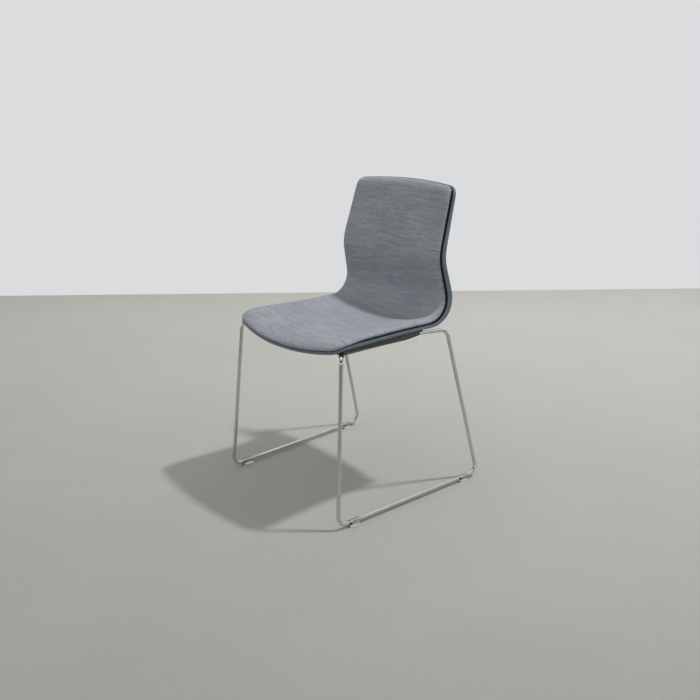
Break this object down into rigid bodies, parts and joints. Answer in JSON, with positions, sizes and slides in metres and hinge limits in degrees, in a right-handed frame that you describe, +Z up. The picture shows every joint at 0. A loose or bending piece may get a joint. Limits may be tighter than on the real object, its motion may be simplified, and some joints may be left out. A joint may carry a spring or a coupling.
{
  "type": "sled base visitor chair",
  "caption": "Stackable visitor chair: one-piece plastic seat and back shell with an upholstered inner pad on a bent steel rod sled base.",
  "frame": {"origin": "on the floor, under the middle of the bounding box", "axes": "+X to the sitter's left, -Y the way the chair faces, +Z up"},
  "size_m": [0.5096, 0.483, 0.7947],
  "materials": {
    "shell": "blue-grey moulded polypropylene, satin, fine grain",
    "liner": "black moulded carrier board",
    "foam": "cut polyurethane foam",
    "fabric": "blue-grey woven upholstery with fine slubs across the width",
    "tray": "warm dark grey moulded plastic",
    "steel": "zinc plated steel",
    "brass": "turned brass",
    "clip": "natural nylon",
    "chrome": "bright chrome plated steel rod",
    "tape": "white foam tape",
    "sleeve": "black soft plastic",
    "glide": "clear moulded plastic"
  },
  "bodies": {
    "root": {"shell": "shell", "pad_liner": "liner", "pad_foam": "foam", "fabric_cover": "fabric", "seat_tray": "tray", "front_cross_plate": "steel", "rear_cross_plate": "steel", "shell_screw_front_left": "steel", "shell_washer_front_left": "steel", "shell_insert_front_left": "brass", "tray_screw_front_left": "steel", "pad_clip_front_left": "clip", "shell_screw_front_right": "steel", "shell_washer_front_right": "steel", "shell_insert_front_right": "brass", "tray_screw_front_right": "steel", "pad_clip_front_right": "clip", "shell_screw_rear_left": "steel", "shell_washer_rear_left": "steel", "shell_insert_rear_left": "brass", "tray_screw_rear_left": "steel", "pad_clip_rear_left": "clip", "shell_screw_rear_right": "steel", "shell_washer_rear_right": "steel", "shell_insert_rear_right": "brass", "tray_screw_rear_right": "steel", "pad_clip_rear_right": "clip", "side_frame_left": "chrome", "pad_tape_left": "tape", "leg_sleeve_left": "sleeve", "glide_front_left": "glide", "glide_rear_left": "glide", "side_frame_right": "chrome", "pad_tape_right": "tape", "leg_sleeve_right": "sleeve", "glide_front_right": "glide", "glide_rear_right": "glide"}
  },
  "joints": []
}
